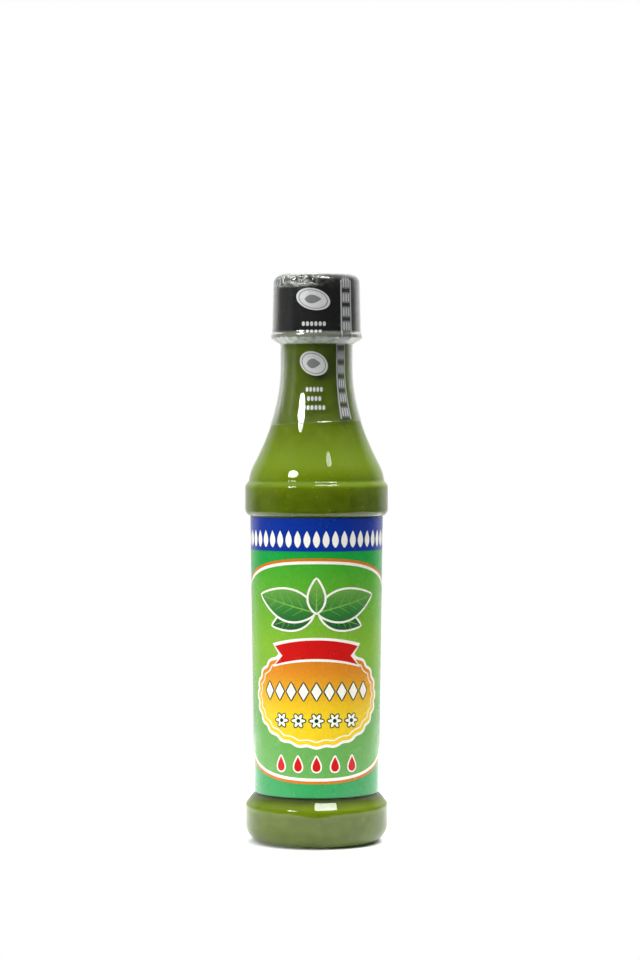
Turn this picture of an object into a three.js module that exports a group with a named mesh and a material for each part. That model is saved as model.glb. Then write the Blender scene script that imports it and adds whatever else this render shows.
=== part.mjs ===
// A 250 g bottle of green chilli sauce: a clear blow-moulded bottle with a recessed label panel,
// its sauce, a wrap label, a black screw cap, and a clear shrink seal over cap and neck.
// Millimetres, +Z up, origin at the middle of the foot. Every piece is turned about the Z axis.
import * as THREE from 'three';

// Driving dimensions
const SIDES = 36; // flats round each turned piece
const BODY_RADIUS = 25; // foot band and shoulder bead
const WALL = 0.7; // blown wall of the body
const NECK_WALL = 1.6; // moulded wall of the neck

// Foot: a flat ring to stand on, round a shallow push-up
const PUSH_UP = 4;
const PUSH_UP_RADIUS = 16.4;
const HEEL_RADIUS = 6.5;

// Heights of the body from the foot band up to the neck, and the radii that differ from BODY_RADIUS
const FOOT_TOP = 12.6;
const PANEL_LOW = 17.4;
const PANEL_LOW_RADIUS = 21.5;
const PANEL_HIGH = 114;
const PANEL_HIGH_RADIUS = 22.95;
const BEAD_LOW = 118.1;
const BEAD_HIGH = 124.4;
const SHOULDER = 128.4;
const SHOULDER_RADIUS = 23.5;
const NECK_LOW = 166;
const NECK_RADIUS = 12.4;

// How far the wall stays upright at the low and the high end of each swell of the body
const FOOT_HOLD = [3.2, 0.5];
const BEAD_UNDER_HOLD = [1.2, 1.6];
const BEAD_OVER_HOLD = [1.6, 1];
const SHOULDER_HOLD = [2, 19.7];

// Neck finish: a carrying ring under the cap, then the plain throat up to the rim
const RING_LOW = 176.1;
const RING_HIGH = 177.3;
const RING_RADIUS = 15.7;
const RING_EDGE = 0.3;
const THROAT_RADIUS = 12.2;
const RIM = 196;

// Sauce, up to a level just inside the cap
const SAUCE_LEVEL = 183;
const SAUCE_GAP = 0.12;

// Cap, tapering a little from its low edge
const CAP_LOW = 178.7;
const CAP_TOP = 197.9;
const CAP_LOW_RADIUS = 15.2;
const CAP_TOP_RADIUS = 14.85;
const CAP_EDGE_RADIUS = 1.8;
const CAP_WALL = 1.7;
const CAP_ROOF = 1.6;

// Wrap label, laid on the recessed panel
const LABEL_GAP = 0.1;
const LABEL_THICKNESS = 0.2;
const LABEL_MARGIN = 0.2;

// Shrink seal: from a hole over the cap's middle down to the flare of the neck
const SEAL_GAP = 0.1;
const SEAL_THICKNESS = 0.15;
const SEAL_HOLE_RADIUS = 9.5;
const SEAL_TUCK = 174.3; // where it meets the neck again under the carrying ring
const SEAL_LOW = 146.3;

// Outlines run upwards in radius and height, with the solid on their left

const at = (radius, height) => new THREE.Vector2(radius, height);

// A round stretch about a centre, from one direction to another in radians.
function arc(centre, radius, from, to, steps) {
  return new THREE.EllipseCurve(centre.x, centre.y, radius, radius, from, to, to < from).getPoints(steps);
}

// A smooth step between two points where the wall stands upright.
function swell(low, high, [lowHold, highHold], steps) {
  const leaving = at(low.x, low.y + lowHold);
  const arriving = at(high.x, high.y - highHold);
  return new THREE.CubicBezierCurve(low, leaving, arriving, high).getPoints(steps);
}

// The direction to the left of travel from one point to the next.
const leftOf = (from, to) => at(from.y - to.y, to.x - from.x).normalize();

// Moves an outline to its left, with mitred corners, by a distance that may depend on height.
function offset(outline, distanceAt) {
  const last = outline.length - 1;
  return outline.map((point, i) => {
    const before = i > 0 ? leftOf(outline[i - 1], point) : leftOf(point, outline[1]);
    const after = i < last ? leftOf(point, outline[i + 1]) : before;
    const middle = before.clone().add(after).normalize();
    return point.clone().addScaledVector(middle, distanceAt(point.y) / middle.dot(before));
  });
}

// The stretch of an outline above a height.
function above(outline, height) {
  const next = outline.findIndex((point) => point.y > height);
  const low = outline[next - 1];
  const high = outline[next];
  const start = low.clone().lerp(high, (height - low.y) / (high.y - low.y));
  return [start, ...outline.slice(next)];
}

// The piece that an outline makes when turned about the Z axis.
function turnedPiece(name, outline, look) {
  const geometry = new THREE.LatheGeometry(outline, SIDES).rotateX(Math.PI / 2);
  const mesh = new THREE.Mesh(geometry, new THREE.MeshStandardMaterial(look));
  mesh.name = name;
  return mesh;
}

// Outer face of the blown body, from the middle of the foot to the foot of the neck
const domeRadius = (PUSH_UP_RADIUS ** 2 + PUSH_UP ** 2) / (2 * PUSH_UP);
const domeEdge = Math.acos(PUSH_UP_RADIUS / domeRadius);
const heelCentre = at(BODY_RADIUS - HEEL_RADIUS, HEEL_RADIUS);
const shoulder = at(SHOULDER_RADIUS, SHOULDER);
const body = [
  ...arc(at(0, PUSH_UP - domeRadius), domeRadius, Math.PI / 2, domeEdge, 3),
  ...arc(heelCentre, HEEL_RADIUS, -Math.PI / 2, 0, 4),
  ...swell(at(BODY_RADIUS, FOOT_TOP), at(PANEL_LOW_RADIUS, PANEL_LOW), FOOT_HOLD, 5),
  ...swell(at(PANEL_HIGH_RADIUS, PANEL_HIGH), at(BODY_RADIUS, BEAD_LOW), BEAD_UNDER_HOLD, 4),
  ...swell(at(BODY_RADIUS, BEAD_HIGH), shoulder, BEAD_OVER_HOLD, 4),
  ...swell(shoulder, at(NECK_RADIUS, NECK_LOW), SHOULDER_HOLD, 9).slice(1),
];

// Inner face of the body, drawn in by a further gap; the wall thickens from the shoulder to the neck.
function lining(gap) {
  const wallAt = (height) => {
    const share = THREE.MathUtils.smoothstep(height, SHOULDER, NECK_LOW);
    return THREE.MathUtils.lerp(WALL, NECK_WALL, share) + gap;
  };
  const face = offset(body, wallAt);
  face[0].setX(0);
  return face;
}

const boreRadius = NECK_RADIUS - NECK_WALL;

const bottle = turnedPiece('bottle', [
  ...body,
  at(NECK_RADIUS, RING_LOW),
  at(RING_RADIUS - RING_EDGE, RING_LOW),
  at(RING_RADIUS, RING_LOW + RING_EDGE),
  at(RING_RADIUS, RING_HIGH - RING_EDGE),
  at(RING_RADIUS - RING_EDGE, RING_HIGH),
  at(THROAT_RADIUS, RING_HIGH),
  at(THROAT_RADIUS, RIM),
  at(boreRadius, RIM),
  ...lining(0).reverse(),
], { color: 0xeef3ea, roughness: 0.06, metalness: 0, transparent: true, opacity: 0.3 });

const sauce = turnedPiece('sauce', [
  ...lining(SAUCE_GAP),
  at(boreRadius - SAUCE_GAP, SAUCE_LEVEL),
  at(0, SAUCE_LEVEL),
], { color: 0x71862a, roughness: 0.35, metalness: 0 });

function labelAt(height, distance) {
  const share = (height - PANEL_LOW) / (PANEL_HIGH - PANEL_LOW);
  return at(THREE.MathUtils.lerp(PANEL_LOW_RADIUS, PANEL_HIGH_RADIUS, share) + distance, height);
}

const labelLow = PANEL_LOW + LABEL_MARGIN;
const labelHigh = PANEL_HIGH - LABEL_MARGIN;
const label = turnedPiece('label', [
  labelAt(labelLow, LABEL_GAP + LABEL_THICKNESS),
  labelAt(labelHigh, LABEL_GAP + LABEL_THICKNESS),
  labelAt(labelHigh, LABEL_GAP),
  labelAt(labelLow, LABEL_GAP),
  labelAt(labelLow, LABEL_GAP + LABEL_THICKNESS),
], { color: 0x35ab57, roughness: 0.3, metalness: 0 });

const capEdgeCentre = at(CAP_TOP_RADIUS - CAP_EDGE_RADIUS, CAP_TOP - CAP_EDGE_RADIUS);
const capEdge = arc(capEdgeCentre, CAP_EDGE_RADIUS, 0, Math.PI / 2, 4);
const cap = turnedPiece('cap', [
  at(0, CAP_TOP - CAP_ROOF),
  at(CAP_TOP_RADIUS - CAP_WALL, CAP_TOP - CAP_ROOF),
  at(CAP_LOW_RADIUS - CAP_WALL, CAP_LOW),
  at(CAP_LOW_RADIUS, CAP_LOW),
  ...capEdge,
  at(0, CAP_TOP),
], { color: 0x1d1e1e, roughness: 0.35, metalness: 0 });

// What the seal is shrunk on to, from the flare of the neck to the top of the cap
const sealed = [
  ...above(body, SEAL_LOW),
  at(NECK_RADIUS, SEAL_TUCK),
  at(RING_RADIUS, RING_LOW),
  at(RING_RADIUS, RING_HIGH),
  at(CAP_LOW_RADIUS, CAP_LOW),
  ...capEdge,
  at(SEAL_HOLE_RADIUS, CAP_TOP),
];
const sealOutside = offset(sealed, () => -SEAL_GAP - SEAL_THICKNESS);
const sealInside = offset(sealed, () => -SEAL_GAP);
const seal = turnedPiece('seal', [
  ...sealOutside,
  ...sealInside.reverse(),
  sealOutside[0],
], { color: 0xf4f6f4, roughness: 0.1, metalness: 0, transparent: true, opacity: 0.2 });

const group = new THREE.Group();
group.add(bottle, sauce, label, cap, seal);

export default group;
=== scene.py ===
import math

import bpy
import numpy as np
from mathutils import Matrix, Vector, noise


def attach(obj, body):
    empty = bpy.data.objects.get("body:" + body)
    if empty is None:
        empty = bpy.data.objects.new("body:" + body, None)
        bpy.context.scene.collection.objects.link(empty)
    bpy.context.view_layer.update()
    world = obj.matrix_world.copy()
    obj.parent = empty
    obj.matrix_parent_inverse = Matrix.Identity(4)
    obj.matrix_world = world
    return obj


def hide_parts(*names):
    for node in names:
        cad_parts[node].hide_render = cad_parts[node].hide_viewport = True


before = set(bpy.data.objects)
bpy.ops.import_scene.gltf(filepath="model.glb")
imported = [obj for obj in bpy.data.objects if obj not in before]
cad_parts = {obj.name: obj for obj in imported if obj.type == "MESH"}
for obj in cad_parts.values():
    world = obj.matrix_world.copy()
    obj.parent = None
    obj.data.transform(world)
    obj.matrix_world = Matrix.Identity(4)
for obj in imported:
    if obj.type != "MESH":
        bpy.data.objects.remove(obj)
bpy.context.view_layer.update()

# A shut bottle of green chilli sauce. Shapes are drawn in millimetres, as outlines of radius and height
# that are turned about the Z axis, and become metres when a mesh is made. The label's front faces -Y.
MM = 0.001
SIDES = 240  # flats round a turned piece

# Sizes, which are those of the solids or about a millimetre from them
BODY_RADIUS = 25.0
WALL = 0.7
NECK_WALL = 1.6
PUSH_UP = 4.0
PUSH_UP_RADIUS = 16.4
HEEL_RADIUS = 6.5
FOOT_TOP = 12.2
PANEL_LOW = 17.5
PANEL_LOW_RADIUS = 21.5
PANEL_HIGH = 114.0
PANEL_HIGH_RADIUS = 22.95
BEAD_LOW = 116.7
BEAD_HIGH = 124.0
SHOULDER = 126.8
SHOULDER_RADIUS = 23.6
NECK_LOW = 166.0
NECK_RADIUS = 12.4
RING_LOW = 176.1  # carrying ring under the cap
RING_HIGH = 177.3
RING_RADIUS = 15.7
RING_EDGE = 0.3
RING_FILLET = 0.4
THROAT_RADIUS = 12.2
RIM = 196.0
RIM_EDGE = 0.4
SAUCE_LEVEL = 183.0  # just inside the cap
CAP_LOW = 178.3
CAP_TOP = 197.9
CAP_LOW_RADIUS = 15.2
CAP_TOP_RADIUS = 14.85
CAP_EDGE_RADIUS = 2.6
CAP_LOW_EDGE_RADIUS = 0.3
CAP_WALL = 1.7
CAP_ROOF = 1.6
LABEL_LOW = 17.6
LABEL_HIGH = 113.8
SEAL_LOW = 146.3
SEAL_TUCK = 174.3  # where the seal meets the neck again under the carrying ring
SEAL_HOLE_RADIUS = 9.5  # the seal is open over the cap's middle

# Details that the solids leave out
GATE_RADIUS = 1.6  # nub left by moulding, in the middle of the push-up
GATE_HEIGHT = 0.9
DISH_RADIUS = 10.6  # shallow dish in the cap's top
DISH_DEPTH = 0.35
SAUCE_SUNK = 0.06  # how far the sauce reaches into the wall, so that no air shows between them


# Outlines

def arc(centre, radius, start, end, steps):
    """A round stretch about a centre, from one direction to another in degrees."""
    turn = np.radians(np.linspace(start, end, steps + 1))
    return np.column_stack([centre[0] + radius * np.cos(turn), centre[1] + radius * np.sin(turn)])


def bend(start, leaving, arriving, end, steps):
    """A smooth stretch that leaves its start and arrives at its end along handles."""
    t = np.linspace(0, 1, steps + 1)[:, None]
    start, leaving, arriving, end = np.array([start, leaving, arriving, end])
    return (1 - t) ** 3 * start + 3 * (1 - t) ** 2 * t * leaving + 3 * (1 - t) * t**2 * arriving + t**3 * end


def flare():
    """The wall from the shoulder up to the neck, from how far it leans in, in degrees, at some heights."""
    marks = [SHOULDER, 128, 129.3, 131, 132.4, 136, 142.6, 149.6, 157.4, NECK_LOW]
    leans = [5, 13, 18, 24, 27.5, 25.5, 21, 15.8, 8.8, 0]
    height = np.linspace(SHOULDER, NECK_LOW, 90)
    slope = np.tan(np.radians(np.interp(height, marks, leans)))
    inward = np.append(0, np.cumsum((slope[1:] + slope[:-1]) / 2 * np.diff(height)))
    return np.column_stack([SHOULDER_RADIUS - (SHOULDER_RADIUS - NECK_RADIUS) * inward / inward[-1], height])


def joined(*stretches):
    """Stretches of outline end to end, without repeated points."""
    outline = np.vstack([np.atleast_2d(stretch) for stretch in stretches])
    steps = np.linalg.norm(np.diff(outline, axis=0), axis=1)
    return outline[np.append(True, steps > 1e-6)]


def left_of(outline):
    """The direction to the left of travel at each point of an outline."""
    along = np.gradient(outline, axis=0)
    along /= np.linalg.norm(along, axis=1)[:, None]
    return np.column_stack([-along[:, 1], along[:, 0]])


def smoothstep(low, high, value):
    t = np.clip((np.asarray(value, float) - low) / (high - low), 0, 1)
    return t * t * (3 - 2 * t)


def body_outline():
    """Outer face of the blown body, from the middle of the foot to the foot of the neck."""
    dome_radius = (PUSH_UP_RADIUS**2 + PUSH_UP**2) / (2 * PUSH_UP)
    dome_edge = math.degrees(math.acos(PUSH_UP_RADIUS / dome_radius))
    slope_low = (24.68, 13.8)  # ends of the slope over the foot band
    slope_high = (22.8, 16.3)
    bead_low = (BODY_RADIUS, BEAD_LOW)
    bead_high = (BODY_RADIUS, BEAD_HIGH)
    panel_high = (PANEL_HIGH_RADIUS, PANEL_HIGH)
    return joined(
        arc((0, PUSH_UP - dome_radius), dome_radius, 90, dome_edge, 12),
        arc((BODY_RADIUS - HEEL_RADIUS, HEEL_RADIUS), HEEL_RADIUS, -90, 0, 18),
        bend((BODY_RADIUS, FOOT_TOP), (BODY_RADIUS, 12.95), (24.93, 13.46), slope_low, 10),
        bend(slope_low, (24.15, 14.53), (23.35, 15.59), slope_high, 10),
        bend(slope_high, (22.4, 16.67), (22.0, 17.05), (PANEL_LOW_RADIUS, PANEL_LOW), 8),
        bend(panel_high, (24.0, 114.2), (BODY_RADIUS, 115.2), bead_low, 14),
        bend(bead_high, (BODY_RADIUS, 125.4), (SHOULDER_RADIUS, 125.9), (SHOULDER_RADIUS, SHOULDER), 14),
        flare(),
    )


def lining(body, sunk):
    """Inner face of the body, sunk into its wall by a distance; the wall thickens towards the neck."""
    share = smoothstep(SHOULDER, NECK_LOW, body[:, 1])
    wall = WALL + (NECK_WALL - WALL) * share - sunk
    face = body + left_of(body) * wall[:, None]
    face[0, 0] = 0
    return face


# Meshes

GATHERED = "gathered"  # name of the measure of how far film is gathered, 0 to 1, at each point of its mesh
SHARP_ANGLE = 40  # in degrees; edges that turn more than this look sharp


def add_piece(name, solid, material, replaced=None, gathered=None):
    """A smooth piece of the object from points in millimetres and faces, riding on the one body."""
    points, faces = solid
    mesh = bpy.data.meshes.new(name)
    mesh.from_pydata((np.asarray(points) * MM).tolist(), [], faces)
    mesh.validate()
    mesh.shade_smooth()
    mesh.set_sharp_from_angle(angle=math.radians(SHARP_ANGLE))
    mesh.materials.append(material)
    if gathered is not None:
        mesh.attributes.new(GATHERED, "FLOAT", "POINT").data.foreach_set("value", gathered)
    piece = bpy.data.objects.new(name, mesh)
    bpy.context.scene.collection.objects.link(piece)
    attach(piece, "root")
    if replaced:
        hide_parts(replaced)


def around(radius, height, angle):
    """Points about the Z axis; angle 0 is the front and a quarter turn is +X."""
    return np.stack([radius * np.sin(angle), -radius * np.cos(angle), height + 0 * angle], axis=-1)


def grid_faces(rows, columns, closed=False):
    """Four-sided faces of a grid of points, whose last column may join its first."""
    faces = []
    for i in range(rows - 1):
        for j in range(columns if closed else columns - 1):
            right = (j + 1) % columns
            low = i * columns
            high = low + columns
            faces.append((low + j, low + right, high + right, high + j))
    return faces


def flipped(faces):
    return [tuple(reversed(face)) for face in faces]


def turned(outline):
    """The solid that an outline between two points of the Z axis makes when turned about it."""
    angle = np.linspace(0, 2 * math.pi, SIDES, endpoint=False)
    rings = outline[1:-1]
    sides = around(rings[:, :1], rings[:, 1:], angle[None, :]).reshape(-1, 3)
    points = np.vstack([sides, (0, 0, outline[0, 1]), (0, 0, outline[-1, 1])])
    first = len(sides)
    top = first - SIDES
    faces = grid_faces(len(rings), SIDES, closed=True)
    for j in range(SIDES):
        right = (j + 1) % SIDES
        faces.append((first, right, j))
        faces.append((first + 1, top + j, top + right))
    return points, faces


def thickened(lower, upper, faces):
    """The thin closed solid between two like sheets of points; the faces look out from the upper one."""
    count = len(lower)
    edges = {edge for face in faces for edge in zip(face, face[1:] + face[:1])}
    rim = [(b + count, a + count, a, b) for a, b in sorted(edges) if (b, a) not in edges]
    top = [tuple(i + count for i in face) for face in faces]
    return np.vstack([lower, upper]), flipped(faces) + top + rim


# Flat shapes for print, across and up, with outlines that run anticlockwise

def fine(outline, step=0.8):
    """A closed outline with no side longer than a step."""
    points = []
    for a, b in zip(outline, np.roll(outline, -1, axis=0)):
        parts = max(1, math.ceil(np.linalg.norm(b - a) / step))
        points += [a + (b - a) * i / parts for i in range(parts)]
    return np.array(points)


def filled(outline, rings, centre=None):
    """A shape whose centre sees all of its outline, as rings of points about that centre."""
    centre = outline.mean(axis=0) if centre is None else np.array(centre)
    count = len(outline)
    shares = np.linspace(0, 1, rings + 1)[1:]
    points = np.vstack([centre] + [centre + (outline - centre) * share for share in shares])
    faces = [(0, 1 + j, 1 + (j + 1) % count) for j in range(count)]
    faces += [tuple(i + 1 for i in face) for face in flipped(grid_faces(rings, count, closed=True))]
    return points, faces


def band(inner, outer):
    """The closed band between two like outlines."""
    return np.vstack([inner, outer]), flipped(grid_faces(2, len(inner), closed=True))


def stroke(middle, width):
    """A strip along a line of points, with a width at each of them."""
    side = left_of(middle) * width[:, None] / 2
    return np.vstack([middle - side, middle + side]), grid_faces(2, len(middle))


def together(*shapes):
    """Several flat shapes as one."""
    points = []
    faces = []
    count = 0
    for shape_points, shape_faces in shapes:
        faces += [tuple(i + count for i in face) for face in shape_faces]
        points.append(shape_points)
        count += len(shape_points)
    return np.vstack(points), faces


def moved(outline, across, up, turn=0.0):
    c = math.cos(math.radians(turn))
    s = math.sin(math.radians(turn))
    return np.asarray(outline) @ np.array([[c, s], [-s, c]]) + (across, up)


def grown(outline, distance):
    """A closed outline moved outwards."""
    along = np.roll(outline, -1, axis=0) - np.roll(outline, 1, axis=0)
    along /= np.linalg.norm(along, axis=1)[:, None]
    return outline + np.column_stack([along[:, 1], -along[:, 0]]) * distance


def all_filled(outlines, rings, margin=0.0):
    """Filled shapes as one, each grown by a margin."""
    return together(*[filled(grown(outline, margin) if margin else outline, rings) for outline in outlines])


def superellipse(half_width, half_height, power, steps=96):
    """An oval that gets squarer as its power goes up from 2."""
    turn = np.linspace(0, 2 * math.pi, steps, endpoint=False)
    across = half_width * np.sign(np.cos(turn)) * np.abs(np.cos(turn)) ** (2 / power)
    up = half_height * np.sign(np.sin(turn)) * np.abs(np.sin(turn)) ** (2 / power)
    return np.column_stack([across, up])


def lozenge(width, height):
    corners = np.array([(width / 2, 0), (0, height / 2), (-width / 2, 0), (0, -height / 2)])
    return fine(corners, 0.5)


def leaf(length, width, steps=30):
    """A pointed leaf along +X from its stem at the origin."""
    t = np.linspace(0, 1, steps + 1)
    half = width / 2 * np.sin(math.pi * t**0.8) ** 0.9
    low = np.column_stack([t * length, -half])
    high = np.column_stack([t * length, half])[::-1]
    return np.vstack([low, high[1:-1]])


def drop(width, height, steps=36):
    """A drop that stands on its round end."""
    turn = np.linspace(0, -2 * math.pi, steps, endpoint=False)
    across = width / 2 * np.sin(turn) * np.abs(np.sin(turn / 2)) ** 1.4
    return np.column_stack([across, height / 2 * np.cos(turn)])


def blossom(radius, petals=6):
    turn = np.linspace(0, 2 * math.pi, 16 * petals, endpoint=False)
    reach = radius * (0.74 + 0.26 * np.cos(petals * turn))
    return np.column_stack([reach * np.cos(turn), reach * np.sin(turn)])


def ribbon(half_width, height, sag, notch):
    """An arched ribbon with swallow-tailed ends, as a grid."""
    across = np.linspace(-1, 1, 41)
    rows = np.linspace(-1, 1, 9)
    points = []
    for row in rows:
        reach = half_width - notch * (1 - abs(row))
        points.append(np.column_stack([across * reach, row * height / 2 - sag * across**2]))
    return np.vstack(points), grid_faces(len(rows), len(across))


# Materials

def srgb(red, green, blue):
    """A colour as a screen shows it, 0 to 255, in linear light."""
    shares = [value / 255 for value in (red, green, blue)]
    linear = [share / 12.92 if share < 0.0404 else ((share + 0.055) / 1.055) ** 2.4 for share in shares]
    return (*linear, 1.0)


SAUCE_DARK = srgb(76, 91, 8)
SAUCE_LIGHT = srgb(86, 102, 11)
# Sauce colour for painted light, where the sauce is drawn lighter as if more light fell on it
SAUCE_PAINTED_LIGHT = srgb(101, 122, 15)
SAUCE_FLECK = srgb(130, 146, 50)
CAP_BLACK = srgb(16, 17, 17)
CAP_GREY = srgb(24, 25, 25)
MILKY = srgb(225, 230, 222)
SILVER = srgb(190, 192, 190)
SILVER_MID = srgb(172, 174, 173)
SILVER_DARK = srgb(112, 113, 114)
BLUE = srgb(10, 46, 140)
FIELD_TOP = srgb(22, 148, 58)
FIELD_LOW = srgb(46, 147, 82)
INNER_TOP = srgb(60, 154, 40)
INNER_MID = srgb(123, 170, 49)
INNER_LOW = srgb(98, 158, 79)
# Painted shade along the label's low edge, where the label meets the wall
PAINTED_EDGE_SHADE = srgb(34, 66, 30)
WHITE = srgb(232, 230, 218)
CREAM = srgb(226, 222, 198)
ORANGE = srgb(190, 110, 30)
AMBER = srgb(206, 130, 34)
YELLOW = srgb(222, 190, 36)
RED = srgb(190, 22, 20)
DARK_GREEN = srgb(14, 58, 38)
LEAF_GREEN = srgb(50, 118, 52)
LEAF_LIGHT = srgb(116, 168, 70)


def feed(tree, socket, value):
    if isinstance(value, bpy.types.NodeSocket):
        tree.links.new(value, socket)
    else:
        socket.default_value = value


def add_node(tree, kind, values=None, **settings):
    made = tree.nodes.new(kind)
    for name, setting in settings.items():
        setattr(made, name, setting)
    for socket, value in (values or {}).items():
        feed(tree, made.inputs[socket], value)
    return made


def new_material(name, values):
    """A material with values set on its Principled shader, with its node tree and that shader."""
    material = bpy.data.materials.new(name)
    material.use_nodes = True
    tree = material.node_tree
    shader = tree.nodes["Principled BSDF"]
    for socket, value in values.items():
        shader.inputs[socket].default_value = value
    return material, tree, shader


def place_in_object(tree):
    return add_node(tree, "ShaderNodeTexCoord").outputs["Object"]


def part_of_place(tree, axis):
    return add_node(tree, "ShaderNodeSeparateXYZ", {0: place_in_object(tree)}).outputs[axis]


def cloud(tree, scale, detail=3.0, roughness=0.5):
    """Soft noise with a number of spots to the metre."""
    values = {"Vector": place_in_object(tree), "Scale": scale, "Detail": detail, "Roughness": roughness}
    return add_node(tree, "ShaderNodeTexNoise", values).outputs["Fac"]


def span(tree, value, low, high, to_low, to_high):
    """A value carried smoothly from one range to another."""
    values = {"Value": value, "From Min": low, "From Max": high, "To Min": to_low, "To Max": to_high}
    return add_node(tree, "ShaderNodeMapRange", values, interpolation_type="SMOOTHSTEP").outputs["Result"]


def hump(tree, value, rising, falling, gain, loss):
    """A number that grows from 0 as a value passes one range, and shrinks as it passes a higher one."""
    return maths(tree, "SUBTRACT", span(tree, value, *rising, 0, gain), span(tree, value, *falling, 0, loss))


def maths(tree, operation, *values):
    made = add_node(tree, "ShaderNodeMath", operation=operation)
    for socket, value in zip(made.inputs, values):
        feed(tree, socket, value)
    return made.outputs[0]


def blend(tree, share, first, second):
    made = add_node(tree, "ShaderNodeMix", data_type="RGBA")
    for socket, value in zip((0, 6, 7), (share, first, second)):
        feed(tree, made.inputs[socket], value)
    return made.outputs[2]


def ramp(tree, value, stops):
    """Colours along a value from 0 to 1."""
    made = add_node(tree, "ShaderNodeValToRGB", {"Fac": value})
    elements = made.color_ramp.elements
    while len(elements) < len(stops):
        elements.new(0.5)
    for element, (place, colour) in zip(elements, stops):
        element.position = place
        element.color = colour
    return made.outputs["Color"]


def bump(tree, shader, height, strength, distance):
    made = add_node(tree, "ShaderNodeBump", {"Height": height, "Strength": strength, "Distance": distance})
    tree.links.new(made.outputs["Normal"], shader.inputs["Normal"])


def show(tree, shader_socket):
    tree.links.new(shader_socket, tree.nodes["Material Output"].inputs["Surface"])


def clear_plastic():
    """The bottle's wall: clear and glossy, a little uneven, with a parting line down either side."""
    material, tree, shader = new_material("clear_plastic", {
        "Base Color": (0.97, 0.99, 0.96, 1), "Roughness": 0.02, "IOR": 1.5, "Transmission Weight": 1.0})
    off_line = maths(tree, "ABSOLUTE", part_of_place(tree, "Y"))
    line = span(tree, off_line, 0.0, 0.25 * MM, 0.3, 0.0)
    bump(tree, shader, maths(tree, "ADD", cloud(tree, 45, 1.0), line), 0.04, 0.0004)
    path = add_node(tree, "ShaderNodeLightPath")
    passing = maths(tree, "MAXIMUM", path.outputs["Is Shadow Ray"], path.outputs["Is Diffuse Ray"])
    open_way = add_node(tree, "ShaderNodeBsdfTransparent", {"Color": (0.92, 0.94, 0.91, 1)})
    both = add_node(tree, "ShaderNodeMixShader",
                    {0: passing, 1: shader.outputs["BSDF"], 2: open_way.outputs["BSDF"]})
    show(tree, both.outputs["Shader"])
    return material


def sauce_puree():
    """Green puree with soft mottling and fine flecks of skin and seed.

    It has painted light that lightens it above the foot, at the shoulder and less so up the neck, and
    painted shade that darkens it under the label."""
    material, tree, shader = new_material("sauce_puree", {
        "Roughness": 0.6, "Specular IOR Level": 0.0, "Subsurface Radius": (0.0035, 0.0045, 0.0013),
        "Subsurface Scale": 1.0, "Subsurface Weight": 0.7})
    mottle = span(tree, cloud(tree, 260, 4.0, 0.6), 0.3, 0.7, 0.0, 1.0)
    rise = part_of_place(tree, "Z")
    # Painted light: the sauce is drawn lighter above the foot band, at the shoulder and less so up the neck,
    # where light falls on it
    foot = hump(tree, rise, (0.0105, 0.0125), (0.017, 0.022), 0.6, 0.6)
    shoulder = hump(tree, rise, (0.119, 0.128), (0.132, 0.145), 0.85, 0.55)
    painted_light = maths(tree, "ADD", foot, shoulder)
    base = blend(tree, painted_light, blend(tree, mottle, SAUCE_DARK, SAUCE_LIGHT), SAUCE_PAINTED_LIGHT)
    cells = add_node(tree, "ShaderNodeTexVoronoi", {"Vector": place_in_object(tree), "Scale": 700.0})
    fleck = span(tree, cells.outputs["Distance"], 0.12, 0.3, 0.5, 0.0)
    picked = span(tree, cloud(tree, 400, 1.0), 0.5, 0.6, 0.0, 1.0)
    flecked = blend(tree, maths(tree, "MULTIPLY", fleck, picked), base, SAUCE_FLECK)
    # Painted shade: the sauce darkens towards the label's low edge, as the shade in the groove there
    painted_groove_shade = hump(tree, rise, (0.0138, 0.0172), (0.019, 0.022), 0.8, 0.8)
    tree.links.new(blend(tree, painted_groove_shade, flecked, (0, 0, 0, 1)), shader.inputs["Base Color"])
    return material


def cap_plastic():
    """Black moulded plastic with a fine satin grain."""
    material, tree, shader = new_material("cap_plastic", {"Specular IOR Level": 0.4})
    grain = cloud(tree, 1400, 2.0)
    tree.links.new(blend(tree, grain, CAP_BLACK, CAP_GREY), shader.inputs["Base Color"])
    tree.links.new(span(tree, cloud(tree, 120), 0.3, 0.7, 0.22, 0.32), shader.inputs["Roughness"])
    bump(tree, shader, grain, 0.12, 0.00005)
    return material


def seal_film():
    """Clear shrink film: see-through, glossy at a slant, and milky where it is gathered."""
    material, tree, shader = new_material("seal_film", {
        "Base Color": MILKY, "Roughness": 0.45, "IOR": 1.2, "Transmission Weight": 0.5})
    facing = add_node(tree, "ShaderNodeLayerWeight", {"Blend": 0.5}).outputs["Facing"]
    gloss_share = maths(tree, "MULTIPLY_ADD", maths(tree, "POWER", facing, 4.0), 0.75, 0.045)
    clear = add_node(tree, "ShaderNodeBsdfTransparent", {"Color": (0.97, 0.97, 0.96, 1)})
    gloss = add_node(tree, "ShaderNodeBsdfGlossy", {"Color": (1, 1, 1, 1), "Roughness": 0.06})
    film = add_node(tree, "ShaderNodeMixShader",
                    {0: gloss_share, 1: clear.outputs["BSDF"], 2: gloss.outputs["BSDF"]})
    gathered = add_node(tree, "ShaderNodeAttribute", attribute_name=GATHERED).outputs["Fac"]
    streaks = span(tree, cloud(tree, 450, 2.0), 0.35, 0.65, 0.55, 1.0)
    milky = maths(tree, "MULTIPLY_ADD", gathered, streaks, 0.004)
    both = add_node(tree, "ShaderNodeMixShader",
                    {0: milky, 1: film.outputs["Shader"], 2: shader.outputs["BSDF"]})
    show(tree, both.outputs["Shader"])
    return material


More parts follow.
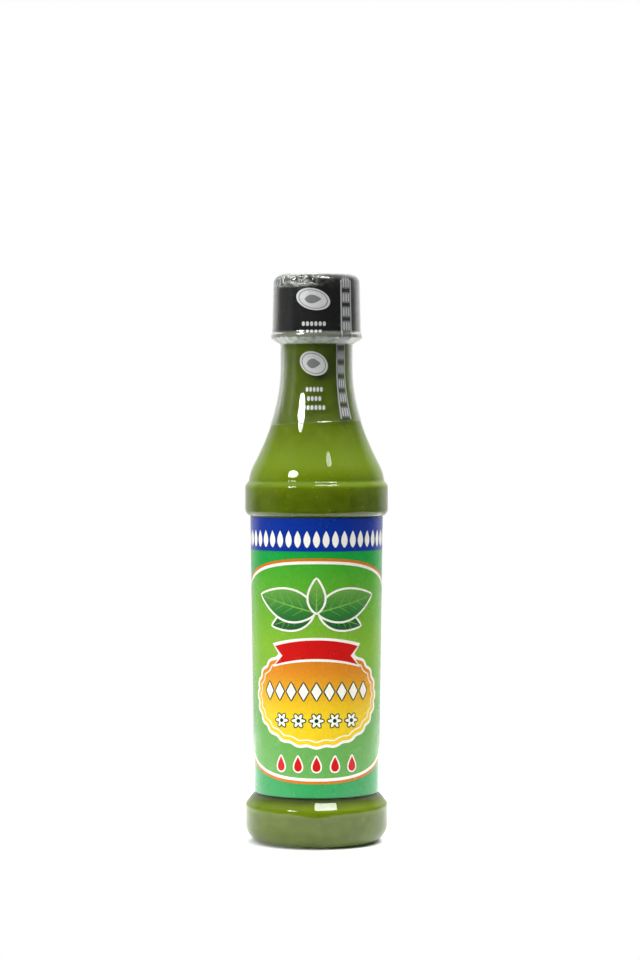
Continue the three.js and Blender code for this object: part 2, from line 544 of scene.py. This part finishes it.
def ink(name, *stops, low=LABEL_LOW, high=LABEL_HIGH, roughness=0.24, metallic=0.0):
    """Print under gloss, in colours that run through stops from one height to another, with a fine grain."""
    material, tree, shader = new_material(name, {"Metallic": metallic, "Specular IOR Level": 0.4})
    values = {"Value": part_of_place(tree, "Z"), "From Min": low * MM, "From Max": high * MM}
    rise = add_node(tree, "ShaderNodeMapRange", values).outputs["Result"]
    colour = ramp(tree, rise, stops)
    grain = span(tree, cloud(tree, 2200, 1.0), 0.3, 0.7, 0.0, 0.12)
    tree.links.new(blend(tree, grain, colour, (0, 0, 0, 1)), shader.inputs["Base Color"])
    shine = span(tree, cloud(tree, 150), 0.3, 0.7, roughness - 0.05, roughness + 0.05)
    tree.links.new(shine, shader.inputs["Roughness"])
    bump(tree, shader, cloud(tree, 300, 2.0), 0.1, 0.00005)
    return material


def plain_ink(name, colour, **settings):
    return ink(name, (0, colour), (1, colour), **settings)


# Bottle and sauce

body = body_outline()


def make_bottle():
    gate = [
        (0, PUSH_UP - GATE_HEIGHT),
        (GATE_RADIUS * 0.8, PUSH_UP - GATE_HEIGHT),
        (GATE_RADIUS, PUSH_UP - 0.3),
    ]
    neck = [
        (NECK_RADIUS, RING_LOW - RING_FILLET),
        (NECK_RADIUS + RING_FILLET, RING_LOW),
        (RING_RADIUS - RING_EDGE, RING_LOW),
        (RING_RADIUS, RING_LOW + RING_EDGE),
        (RING_RADIUS, RING_HIGH - RING_EDGE),
        (RING_RADIUS - RING_EDGE, RING_HIGH),
        (THROAT_RADIUS, RING_HIGH),
        (THROAT_RADIUS, RIM - RIM_EDGE),
        (THROAT_RADIUS - RIM_EDGE, RIM),
        (NECK_RADIUS - NECK_WALL, RIM),
    ]
    outside = body[body[:, 0] > GATE_RADIUS + 0.5]
    outline = joined(gate, outside, neck, lining(body, 0.0)[::-1])
    add_piece("bottle_wall", turned(outline), clear_plastic(), "bottle")


def make_sauce():
    bore = NECK_RADIUS - NECK_WALL + SAUCE_SUNK
    outline = joined(lining(body, SAUCE_SUNK), (bore, SAUCE_LEVEL), (0, SAUCE_LEVEL))
    add_piece("sauce_fill", turned(outline), sauce_puree(), "sauce")


# Cap

def cap_edge():
    centre = (CAP_TOP_RADIUS - CAP_EDGE_RADIUS, CAP_TOP - CAP_EDGE_RADIUS)
    return arc(centre, CAP_EDGE_RADIUS, 0, 90, 10)


def make_cap():
    low_edge_centre = (CAP_LOW_RADIUS - CAP_LOW_EDGE_RADIUS, CAP_LOW + CAP_LOW_EDGE_RADIUS)
    outline = joined(
        (0, CAP_TOP - CAP_ROOF),
        (CAP_TOP_RADIUS - CAP_WALL, CAP_TOP - CAP_ROOF),
        (CAP_LOW_RADIUS - CAP_WALL, CAP_LOW),
        arc(low_edge_centre, CAP_LOW_EDGE_RADIUS, -90, 0, 4),
        cap_edge(),
        (DISH_RADIUS + DISH_DEPTH, CAP_TOP),
        (DISH_RADIUS, CAP_TOP - DISH_DEPTH),
        (0, CAP_TOP - DISH_DEPTH),
    )
    add_piece("cap_shell", turned(outline), cap_plastic(), "cap")


# Label

LABEL_TURN = 22.5  # radius that turns millimetres along the label into an angle
LABEL_LIFT = 0.12
LABEL_THICKNESS = 0.12
PRINT_LIFT = 0.02  # from one layer of print to the next
BAND_LOW = 102.3  # low edge of the blue band
FRAME_MIDDLE = 61.3
BADGE_MIDDLE = 52.3
BADGE_HALF_WIDTH = 24.5
BADGE_HALF_HEIGHT = 16.5
SPRIG = 81.5  # where the leaves meet


def panel_radius(height):
    return np.interp(height, [PANEL_LOW, PANEL_HIGH], [PANEL_LOW_RADIUS, PANEL_HIGH_RADIUS])


def make_label_sheet():
    """The wrap itself, whose end laps over its start behind the bottle."""
    overlap = 0.2  # in radians, as is the stretch over which the end lifts on to the start
    lifting = 0.08
    lap_gap = 0.03
    rows = 33
    columns = SIDES + 12
    angle = np.linspace(-math.pi, math.pi + overlap, columns)
    height = np.linspace(LABEL_LOW, LABEL_HIGH, rows)
    lap = smoothstep(math.pi - lifting, math.pi, angle) * (LABEL_THICKNESS + lap_gap)
    inner = panel_radius(height)[:, None] + LABEL_LIFT + lap[None, :]
    lower = around(inner, height[:, None], angle[None, :]).reshape(-1, 3)
    upper = around(inner + LABEL_THICKNESS, height[:, None], angle[None, :]).reshape(-1, 3)
    edge = (BAND_LOW - LABEL_LOW) / (LABEL_HIGH - LABEL_LOW)
    # The label's lowest strip is painted dark as shade, then the field runs up to the blue band
    look = ink("label_sheet", (0.001, PAINTED_EDGE_SHADE), (0.004, FIELD_LOW), (0.5, FIELD_TOP), (edge - 0.001, FIELD_TOP),
               (edge, BLUE))
    sheet = thickened(lower, upper, grid_faces(rows, columns))
    add_piece("label_sheet", sheet, look, "label")


def print_on_label(name, shape, layer, look):
    """A flat shape printed on the label, in millimetres from its front line and up from the floor."""
    flat, faces = shape
    radius = panel_radius(flat[:, 1]) + LABEL_LIFT + LABEL_THICKNESS
    angle = flat[:, 0] / LABEL_TURN
    lower = around(radius + (layer - 1.5) * PRINT_LIFT, flat[:, 1], angle)
    upper = around(radius + layer * PRINT_LIFT, flat[:, 1], angle)
    add_piece(name, thickened(lower, upper, faces), look)


def print_band(white):
    """A row of upright petals round the blue band, except over the lap."""
    count = 44  # petals that would fill the whole way round
    either_side = 20  # petals left and right of the one in front
    pitch = 2 * math.pi * LABEL_TURN / count
    petal = leaf(5.8, 2.3)
    foot = BAND_LOW + 1.4
    petals = [moved(petal, pitch * i, foot, 90) for i in range(-either_side, either_side + 1)]
    print_on_label("label_petals", all_filled(petals, 3), 1, white)


def print_frame(white):
    """The framed field of the label's front."""
    half_width = 44
    half_height = 37.1
    squareness = 2.5
    orange_width = 1.7
    white_inside = 0.3
    white_outside = 0.7
    line = moved(fine(superellipse(half_width, half_height, squareness, 160)), 0, FRAME_MIDDLE)
    look = ink("ink_field", (0, INNER_LOW), (0.28, INNER_LOW), (0.6, INNER_MID), (1, INNER_TOP),
               low=FRAME_MIDDLE - half_height, high=FRAME_MIDDLE + half_height)
    orange = plain_ink("ink_orange", ORANGE)
    white_line = band(grown(line, -white_inside), grown(line, white_outside))
    print_on_label("label_field", filled(line, 44), 1, look)
    print_on_label("label_frame_orange", band(line, grown(line, orange_width)), 2, orange)
    print_on_label("label_frame_white", white_line, 3, white)


def print_badge(white):
    """The round badge, with a scalloped rim and a fine line inside it."""
    waves = 24
    wave_height = 0.018  # as a share of the radius
    rim_width = 1.0
    line_start = 1.3  # from the badge's edge in to either side of the fine line
    line_end = 1.7
    rings = 28
    turn = np.linspace(0, 2 * math.pi, 12 * waves, endpoint=False)
    scallop = 1 + wave_height * np.cos(waves * turn)
    across = BADGE_HALF_WIDTH * np.cos(turn) * scallop
    up = BADGE_HALF_HEIGHT * np.sin(turn) * scallop
    line = moved(np.column_stack([across, up]), 0, BADGE_MIDDLE)
    fine_line = band(grown(line, -line_end), grown(line, -line_start))
    centre = (0, BADGE_MIDDLE)
    look = ink("ink_badge", (0, YELLOW), (0.3, YELLOW), (0.75, AMBER), (1, ORANGE),
               low=BADGE_MIDDLE - BADGE_HALF_HEIGHT, high=BADGE_MIDDLE + BADGE_HALF_HEIGHT)
    print_on_label("label_badge_rim", filled(grown(line, rim_width), rings, centre), 2, white)
    print_on_label("label_badge", filled(line, rings, centre), 3, look)
    print_on_label("label_badge_line", fine_line, 4, white)


def print_ribbon(white, red):
    """The ribbon across the badge's top, with a white rim."""
    sag = 2.3
    notch = 3.0
    middle = BADGE_MIDDLE + BADGE_HALF_HEIGHT
    for name, half_width, height, layer, look in (("label_ribbon_rim", 16.4, 8.2, 5, white),
                                                  ("label_ribbon", 15.3, 6.4, 6, red)):
        points, faces = ribbon(half_width, height, sag, notch)
        print_on_label(name, (moved(points, 0, middle), faces), layer, look)


def print_rows(white, dark):
    """A row of lozenges and one of blossoms on the badge, with dark rims."""
    pitch = 4.5
    row = [moved(lozenge(3.5, 6.0), pitch * i, BADGE_MIDDLE + 2) for i in range(-4, 5)]
    print_on_label("label_row_rims", all_filled(row, 4, 0.45), 5, dark)
    print_on_label("label_row", all_filled(row, 4), 6, white)

    pitch = 6.4
    row_height = BADGE_MIDDLE - 8
    blossoms = [moved(blossom(2.5), pitch * i, row_height) for i in range(-2, 3)]
    hearts = [moved(superellipse(0.7, 0.7, 2, 20), pitch * i, row_height) for i in range(-2, 3)]
    print_on_label("label_blossom_rims", all_filled(blossoms, 4, 0.4), 5, dark)
    print_on_label("label_blossoms", all_filled(blossoms, 4), 6, white)
    print_on_label("label_blossom_hearts", all_filled(hearts, 2), 7, dark)


def leaf_veins(length, width):
    """The middle vein of a leaf and four pairs of side veins, which all taper."""
    t = np.linspace(0.02, 0.94, 30)
    veins = [stroke(np.column_stack([t * length, 0 * t]), 0.55 * (1 - 0.7 * t))]
    reach = np.linspace(0, 1, 8)
    for start in (0.18, 0.34, 0.5, 0.66):
        for side in (-1, 1):
            run = np.column_stack([start * length + 0.15 * length * reach, side * 0.3 * width * reach])
            veins.append(stroke(run, 0.22 * (1 - 0.6 * reach)))
    return together(*veins)


def print_sprig(white, light):
    """A sprig of leaves with pale outlines and veins, above the ribbon."""
    rings = 10
    rim_width = 0.7
    look = ink("ink_leaf", (0, DARK_GREEN), (0.45, LEAF_GREEN), (1, LEAF_LIGHT),
               low=SPRIG - 8.5, high=SPRIG + 12.5)
    # Length, width and shift across of each leaf, and its lean in degrees; later pairs lie on top
    leaves = (
        (16, 7.6, 1, -17),
        (16, 7.6, -1, 197),
        (22, 10.5, 0.5, 15),
        (22, 10.5, -0.5, 165),
        (11.5, 5.4, 0, 90),
    )
    for i, (length, width, across, lean) in enumerate(leaves):
        layer = 5 + 3 * (i // 2)
        outline = leaf(length, width)
        inside = moved(outline, across, SPRIG, lean)
        rim = moved(grown(outline, rim_width), across, SPRIG, lean)
        points, faces = leaf_veins(length, width)
        veins = (moved(points, across, SPRIG, lean), faces)
        print_on_label(f"label_leaf_rim_{i}", filled(rim, rings), layer, white)
        print_on_label(f"label_leaf_{i}", filled(inside, rings), layer + 1, look)
        print_on_label(f"label_leaf_veins_{i}", veins, layer + 2, light)


def print_drops(white, red):
    """A row of drops under the badge, with white rims."""
    pitch = 6.6
    row_height = 29.4
    drops = [moved(drop(4.0, 5.2), pitch * i, row_height) for i in range(-2, 3)]
    print_on_label("label_drop_rims", all_filled(drops, 4, 0.5), 4, white)
    print_on_label("label_drops", all_filled(drops, 4), 5, red)


def print_back(dark):
    """Pale panels with ruled lines, behind the bottle."""
    cream = plain_ink("ink_cream", CREAM)
    aside = 56.7  # from the front line to the middle of a panel
    panel_middle = 60
    panel_half_width = 9
    panel_half_height = 30
    rule_count = 15
    rule_length = 13
    short_rule_length = 9
    low_rule = 37.5
    rule_pitch = 3.2
    for name, middle in (("left", -aside), ("right", aside)):
        panel = moved(fine(superellipse(panel_half_width, panel_half_height, 7)), middle, panel_middle)
        print_on_label(f"label_panel_{name}", filled(panel, 32), 1, cream)
        rules = []
        for i in range(rule_count):
            length = short_rule_length if i % 4 == 0 else rule_length
            rule = fine(superellipse(length / 2, 0.45, 6, 24))
            rules.append(moved(rule, middle - (rule_length - length) / 2, low_rule + rule_pitch * i))
        print_on_label(f"label_rules_{name}", all_filled(rules, 8), 2, dark)


def make_label_print():
    white = plain_ink("ink_white", WHITE)
    dark = plain_ink("ink_dark_green", DARK_GREEN)
    light = plain_ink("ink_leaf_light", LEAF_LIGHT)
    red = plain_ink("ink_red", RED)
    print_band(white)
    print_frame(white)
    print_badge(white)
    print_ribbon(white, red)
    print_rows(white, dark)
    print_sprig(white, light)
    print_drops(white, red)
    print_back(dark)


# Shrink seal

SEAL_SIDES = 360
SEAL_LIFT = 0.15
SEAL_THICKNESS = 0.07
SEAL_STEP = 0.25
SEAL_SKEW = 0.9  # how much higher the low edge runs on the right than in front
SEAL_INK = 0.02  # thickness of its print

# Places round the seal, in radians from its front, of its crumples and its rolled fold
FRONT_CRUMPLES = -0.55
BACK_CRUMPLES = 2.7
ROLLED_FOLD = -0.36

# Creases: angle in degrees, width in radians and height in millimetres
CREASES = ((-59, 0.11, 0.4), (-38, 0.06, 0.1), (128, 0.05, 0.2), (171, 0.08, 0.3))


def seal_bed():
    """What the seal lies on, from below its low edge to its hole over the cap, and the distance along it."""
    outline = joined(
        body[body[:, 1] > SEAL_LOW - 4],
        (NECK_RADIUS, SEAL_TUCK - 0.6),
        (NECK_RADIUS + 0.3, SEAL_TUCK),
        (RING_RADIUS - 0.35, RING_LOW - 0.15),
        (RING_RADIUS, RING_LOW + 0.25),
        (RING_RADIUS, RING_HIGH - 0.25),
        (CAP_LOW_RADIUS + 0.1, CAP_LOW),
        cap_edge(),
        (SEAL_HOLE_RADIUS, CAP_TOP),
    )
    run = np.append(0, np.cumsum(np.linalg.norm(np.diff(outline, axis=0), axis=1)))
    even = np.linspace(0, run[-1], int(run[-1] / SEAL_STEP) + 1)
    return np.column_stack([np.interp(even, run, outline[:, i]) for i in (0, 1)]), even


bed, bed_run = seal_bed()
bed_out = -left_of(bed)
bed_rise = np.maximum.accumulate(bed[:, 1])


def ripple(angle, along, round_count, along_count):
    """A steady unevenness between -1 and 1, round and along the seal."""
    place = Vector((math.cos(angle) * round_count, math.sin(angle) * round_count, along * along_count))
    return noise.noise(place)


def turn_from(place, angle):
    """How far an angle lies from a place, at most half a turn either way."""
    return (angle - place + math.pi) % (2 * math.pi) - math.pi


def crumple(angle, height):
    """How crumpled the film is over the cap's edge, 0 to 1: in front on the left, behind on the right."""
    front = math.exp(-((turn_from(FRONT_CRUMPLES, angle) / 0.6) ** 4))
    behind = math.exp(-((turn_from(BACK_CRUMPLES, angle) / 0.5) ** 4))
    loose = 0.06 + 0.94 * front + 0.6 * behind
    return loose * float(smoothstep(CAP_TOP - 5, CAP_TOP - 3.8, height))


def rolled(angle, height):
    """How far the film is rolled into a thick fold, 0 to 1, in front and below its crumples."""
    aside = turn_from(ROLLED_FOLD, angle)
    above = height - (CAP_TOP - 3.7)
    return math.exp(-((aside / 0.26) ** 4) - (above / 0.55) ** 2)


def gather(height):
    """How far the seal is drawn together, 0 to 1: fully under the carrying ring and a little over it."""
    under = smoothstep(SEAL_TUCK - 0.5, SEAL_TUCK + 0.3, height)
    over = 1 - 0.7 * smoothstep(RING_LOW - 0.2, RING_LOW + 0.5, height)
    return float(under * over * (1 - smoothstep(CAP_LOW - 0.8, CAP_LOW, height)))


def crease(angle, height):
    """How far long upright creases lift the film off the neck."""
    lines = 0.0
    for place, width, lift in CREASES:
        lines += lift * math.exp(-((turn_from(math.radians(place), angle) / width) ** 2))
    start = smoothstep(SEAL_LOW + 1, SEAL_LOW + 6, height)
    end = smoothstep(SEAL_TUCK - 5, SEAL_TUCK - 1, height)
    return float(lines * start * (1 - end))


def ridges(angle, run):
    """Long folds of crumpled film, 1 along their crests."""
    return 1 - abs(ripple(angle + 2, run, 6.0, 0.4))


def wrinkles(angle, run):
    """Short folds of crumpled film, 1 along their crests."""
    return 1 - abs(ripple(angle + 4, run, 11.0, 0.7))


def seal_slack(angle, height, run):
    """How far the seal stands off what it lies on."""
    lip = math.exp(-max(run, 0) / 0.4)
    folds = 0.5 + 0.5 * ripple(angle, run, 6.0, 0.22)
    pleats = 0.5 + 0.5 * ripple(angle, 0, 14.0, 0)
    crests = 0.7 * folds * ridges(angle, run) ** 4 + 0.3 * wrinkles(angle, run) ** 4
    loose = crumple(angle, height) * crests + 0.5 * rolled(angle, height) + crease(angle, height)
    return SEAL_LIFT + 0.06 * folds + loose + gather(height) * 0.07 * pleats + 0.2 * lip


def seal_place(angle, run):
    """Where the seal lies at an angle from its front and a distance up from its low edge."""
    place = np.interp(SEAL_LOW + SEAL_SKEW * math.sin(angle), bed_rise, bed_run) + run
    return np.array([np.interp(place, bed_run, line) for line in (*bed.T, *bed_out.T)])


def seal_point(angle, run, lift):
    radius, height, out, up = seal_place(angle, run)
    slack = seal_slack(angle, height, run) + lift
    return around(radius + out * slack, height + up * slack, np.float64(angle))


def seal_gathered(angle, run):
    """How milky the film is, 0 to 1: where it is drawn together and along its creases and folds."""
    height = seal_place(angle, run)[1]
    crests = 0.6 * ridges(angle, run) ** 12 + 0.4 * wrinkles(angle, run) ** 9
    folds = max(0.8 * rolled(angle, height) * wrinkles(angle, run), crumple(angle, height) * crests)
    return max(0.6 * gather(height), 0.5 * crease(angle, height), min(0.9, folds))


def seal_rows():
    """Distances up the seal, close together at its low edge, about the ring and over the cap's edge."""
    heights = [SEAL_LOW, SEAL_LOW + 2, SEAL_TUCK - 2, CAP_LOW + 2, CAP_TOP - 6]
    steps = [0.25, 1.0, 0.3, 0.9, 0.3]
    places = np.append(np.interp(heights, bed_rise, bed_run), bed_run[-1])
    rows = np.hstack([np.arange(low, high, step) for low, high, step in zip(places, places[1:], steps)])
    reach = bed_run[-1] - np.interp(SEAL_LOW + SEAL_SKEW, bed_rise, bed_run)
    rows -= rows[0]
    return np.append(rows[rows < reach - 0.1], reach)


def make_seal():
    """The film, clear of cap and neck, with crumples over the cap's edge."""
    runs = seal_rows()
    angles = np.linspace(0, 2 * math.pi, SEAL_SIDES, endpoint=False)
    lower = np.array([seal_point(angle, run, 0.0) for run in runs for angle in angles])
    upper = np.array([seal_point(angle, run, SEAL_THICKNESS) for run in runs for angle in angles])
    gathered = [seal_gathered(angle, run) for run in runs for angle in angles]
    film = thickened(lower, upper, grid_faces(len(runs), SEAL_SIDES, closed=True))
    add_piece("seal_film", film, seal_film(), "seal", gathered * 2)


def print_on_seal(name, shape, look, lift=0.0):
    """A flat shape printed on the seal, in degrees round it and millimetres up from the floor."""
    flat, faces = shape
    lower = []
    upper = []
    for across, up in flat:
        angle = math.radians(across)
        start = np.interp(SEAL_LOW + SEAL_SKEW * math.sin(angle), bed_rise, bed_run)
        run = np.interp(up, bed_rise, bed_run) - start
        lower.append(seal_point(angle, run, SEAL_THICKNESS - SEAL_INK / 2 + lift))
        upper.append(seal_point(angle, run, SEAL_THICKNESS + SEAL_INK + lift))
    add_piece(name, thickened(np.array(lower), np.array(upper), faces), look)


def print_ovals(silver, grey):
    """Two ovals with a ring and a leaf in them."""
    aside = -4.6  # angle of their middle in degrees, as are the next two
    half_width = 22.5
    leaf_length = 22
    slant = 0.04  # fall in millimetres for each degree to the right
    discs = []
    marks = []
    for up, half_height in ((189.1, 3.75), (167.0, 4.15)):
        oval = superellipse(half_width, half_height, 2, 72)
        oval[:, 1] -= slant * oval[:, 0]
        mark = leaf(leaf_length, half_height * 0.8)
        discs.append(moved(oval, aside, up))
        marks.append(band(moved(oval * 0.8, aside, up), moved(oval * 0.86, aside, up)))
        marks.append(filled(moved(mark, aside - leaf_length / 2, up), 4))
    print_on_seal("seal_ovals", all_filled(discs, 12), silver)
    print_on_seal("seal_oval_marks", together(*marks), grey, SEAL_INK)


def print_dashes(silver):
    """Rows of dashes under the ovals."""
    aside = -3.5  # angle of their middle in degrees, as are the next two
    pitch = 5.4
    half_length = 2.0
    dashes = []
    # Place of each row, height of its dashes and their number
    for up, height, count in (
        (180.6, 1.6, 6),
        (178.0, 1.1, 4),
        (158.0, 1.7, 5),
        (154.8, 1.7, 4),
        (151.7, 1.7, 6),
    ):
        dash = superellipse(half_length, height / 2, 2.2, 24)
        dashes += [moved(dash, aside + pitch * (i - (count - 1) / 2), up) for i in range(count)]
    print_on_seal("seal_dashes", all_filled(dashes, 2), silver)


def print_tear_strip(silver, grey):
    """Two rails with barred blocks between them."""
    strip = 42  # angle of its middle in degrees, as are the next three
    half_strip = 8.2
    rail_width = 2.0
    bar_pitch = 4.2
    block_pitch = 4.95
    up = np.arange(SEAL_LOW + 1.5, CAP_TOP - 2, 0.5)
    rails = []
    for side in (-1, 1):
        line = np.column_stack([0 * up + strip + side * half_strip, up])
        rails.append(stroke(line, 0 * up + rail_width))
    look = plain_ink("ink_rail", SILVER_MID, roughness=0.4, metallic=0.2)
    print_on_seal("seal_rails", together(*rails), look)

    block = fine(superellipse(half_strip - 1.0, 1.9, 6, 40), 1.5)
    bar = fine(superellipse(1.0, 1.4, 4, 24), 1.0)
    blocks = []
    bars = []
    for middle in np.arange(SEAL_LOW + 3.9, CAP_TOP - 3, block_pitch):
        blocks.append(moved(block, strip, middle))
        bars += [moved(bar, strip + bar_pitch * i, middle) for i in (-1, 0, 1)]
    print_on_seal("seal_blocks", all_filled(blocks, 4), grey)
    print_on_seal("seal_bars", all_filled(bars, 2), silver, SEAL_INK)


def make_seal_print():
    silver = plain_ink("ink_silver", SILVER, roughness=0.35, metallic=0.2)
    grey = plain_ink("ink_grey", SILVER_DARK, roughness=0.4, metallic=0.2)
    print_ovals(silver, grey)
    print_dashes(silver)
    print_tear_strip(silver, grey)


# Stage

IMAGE_HEIGHT = 959  # in pixels
MM_PER_PIXEL = 0.35  # at the bottle's axis
CAMERA_DISTANCE = 975.0
EYE_LEVEL = 143.7
AIM = (1.2, 0.0, 126.7)
FLOOR_WIDTH = 0.56  # in metres, as are the next three
FLOOR_FRONT = -0.108
FLOOR_BACK = 0.3
LAMP_AIM = 0.15  # height that the lamps look at


def make_camera():
    data = bpy.data.cameras.new("camera")
    data.sensor_width = 36
    data.lens = data.sensor_width * CAMERA_DISTANCE / (IMAGE_HEIGHT * MM_PER_PIXEL)
    data.clip_end = 50
    camera = bpy.data.objects.new("camera", data)
    camera.location = Vector((AIM[0], -CAMERA_DISTANCE, EYE_LEVEL)) * MM
    sight = Vector(AIM) * MM - camera.location
    camera.rotation_euler = sight.to_track_quat("-Z", "Y").to_euler()
    bpy.context.scene.collection.objects.link(camera)
    bpy.context.scene.camera = camera


def make_floor():
    middle = (FLOOR_BACK + FLOOR_FRONT) / 2
    rim = moved(superellipse(FLOOR_WIDTH / 2, (FLOOR_BACK - FLOOR_FRONT) / 2, 4), 0, middle)
    mesh = bpy.data.meshes.new("floor")
    mesh.from_pydata([(x, y, 0.0) for x, y in rim.tolist()], [], [tuple(range(len(rim)))])
    material, tree, shader = new_material("floor", {"Roughness": 0.6, "Specular IOR Level": 0.2})
    tone = span(tree, cloud(tree, 3, 2.0), 0.3, 0.7, 0.0, 1.0)
    colour = blend(tree, tone, (0.73, 0.73, 0.73, 1), (0.77, 0.77, 0.77, 1))
    tree.links.new(colour, shader.inputs["Base Color"])
    mesh.materials.append(material)
    floor = bpy.data.objects.new("floor", mesh)
    bpy.context.scene.collection.objects.link(floor)


def softbox(name, azimuth, elevation, distance, width, height, radiance, shape="RECTANGLE", shiny=True):
    """A lamp right of the camera and above the floor by angles in degrees, that looks at the bottle.

    A lamp that isn't shiny stays out of reflections."""
    data = bpy.data.lights.new(name, "AREA")
    data.shape = shape
    data.size = width
    data.size_y = height
    data.energy = radiance * math.pi * width * height
    lamp = bpy.data.objects.new(name, data)
    turn = math.radians(azimuth)
    rise = math.radians(elevation)
    way = Vector((math.sin(turn) * math.cos(rise), -math.cos(turn) * math.cos(rise), math.sin(rise)))
    lamp.location = Vector((0, 0, LAMP_AIM)) + way * distance
    lamp.rotation_euler = (-way).to_track_quat("-Z", "Y").to_euler()
    lamp.visible_camera = False
    lamp.visible_glossy = shiny
    bpy.context.scene.collection.objects.link(lamp)


def make_light():
    # Azimuth, elevation, distance, width, height and radiance of each lamp
    softbox("overhead", 26, 61, 0.9, 0.46, 0.15, 16)
    softbox("overhead_small", 30, 53, 0.9, 0.15, 0.2, 6, "ELLIPSE")
    softbox("left_round", -44, 27.5, 1.1, 0.32, 0.38, 18, "ELLIPSE")
    softbox("left_fill", -40, 22, 1.1, 0.5, 0.5, 4.5, shiny=False)
    softbox("back_fill", 134, 65, 1.0, 1.0, 1.0, 8, shiny=False)
    softbox("left_high_fill", -50, 62, 0.9, 0.5, 0.5, 7.0, shiny=False)

    # The room is dim in front and bright behind and above, and the camera sees plain white
    world = bpy.data.worlds.new("studio")
    bpy.context.scene.world = world
    world.use_nodes = True
    tree = world.node_tree
    tree.nodes.clear()
    way = add_node(tree, "ShaderNodeSeparateXYZ",
                   {0: add_node(tree, "ShaderNodeTexCoord").outputs["Generated"]})
    sides = span(tree, way.outputs["Y"], -0.5, -0.3, 0.04, 0.2)
    behind = span(tree, way.outputs["Y"], 0.33, 0.75, 0.0, 0.65)
    above = span(tree, way.outputs["Z"], 0.45, 0.8, 0.0, 0.3)
    strength = maths(tree, "ADD", maths(tree, "ADD", sides, behind), above)
    lit = add_node(tree, "ShaderNodeBackground", {"Color": (1, 1, 1, 1), "Strength": strength})
    backdrop = add_node(tree, "ShaderNodeBackground", {"Color": (1, 1, 1, 1), "Strength": 1.0})
    seen = add_node(tree, "ShaderNodeLightPath").outputs["Is Camera Ray"]
    both = add_node(tree, "ShaderNodeMixShader",
                    {0: seen, 1: lit.outputs["Background"], 2: backdrop.outputs["Background"]})
    output = add_node(tree, "ShaderNodeOutputWorld")
    tree.links.new(both.outputs["Shader"], output.inputs["Surface"])
    bpy.context.scene.view_settings.view_transform = "Standard"


make_camera()
make_bottle()
make_sauce()
make_cap()
make_label_sheet()
make_label_print()
make_seal()
make_seal_print()
make_floor()
make_light()
